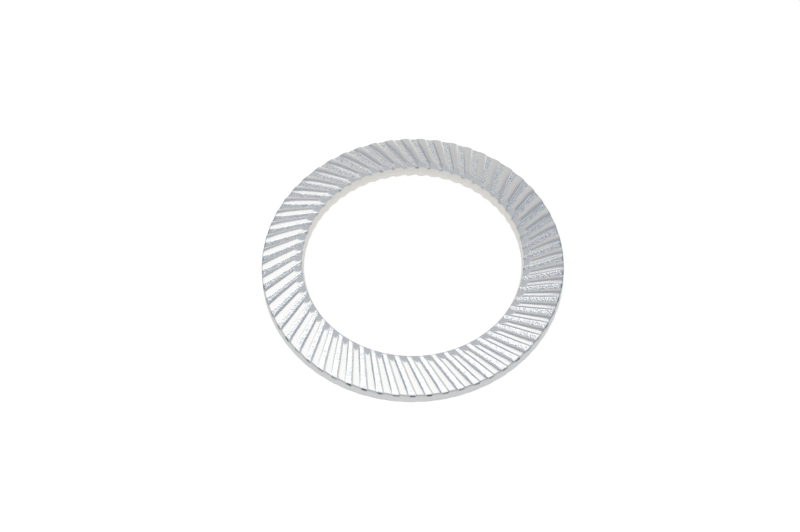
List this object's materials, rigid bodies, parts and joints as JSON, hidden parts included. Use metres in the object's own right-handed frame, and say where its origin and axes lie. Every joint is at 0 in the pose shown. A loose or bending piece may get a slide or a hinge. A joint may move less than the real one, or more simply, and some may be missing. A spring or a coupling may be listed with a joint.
{
  "type": "ribbed lock washer",
  "caption": "Conical spring lock washer of zinc-plated steel with slanted ribs on both faces, which bite under a bolt head and keep it from turning loose.",
  "frame": {"origin": "centre of the washer at the height of the surface that it rests on", "axes": "+Z along the bore, towards the raised inner edge and the bolt head; the washer is round, so X and Y are free"},
  "size_m": [0.039, 0.039, 0.0029],
  "materials": {
    "zinc_plated_steel": "bright zinc plate, smooth on the rib tops and granular in the grooves"
  },
  "bodies": {
    "root": {"lock_washer": "zinc_plated_steel"}
  },
  "joints": []
}
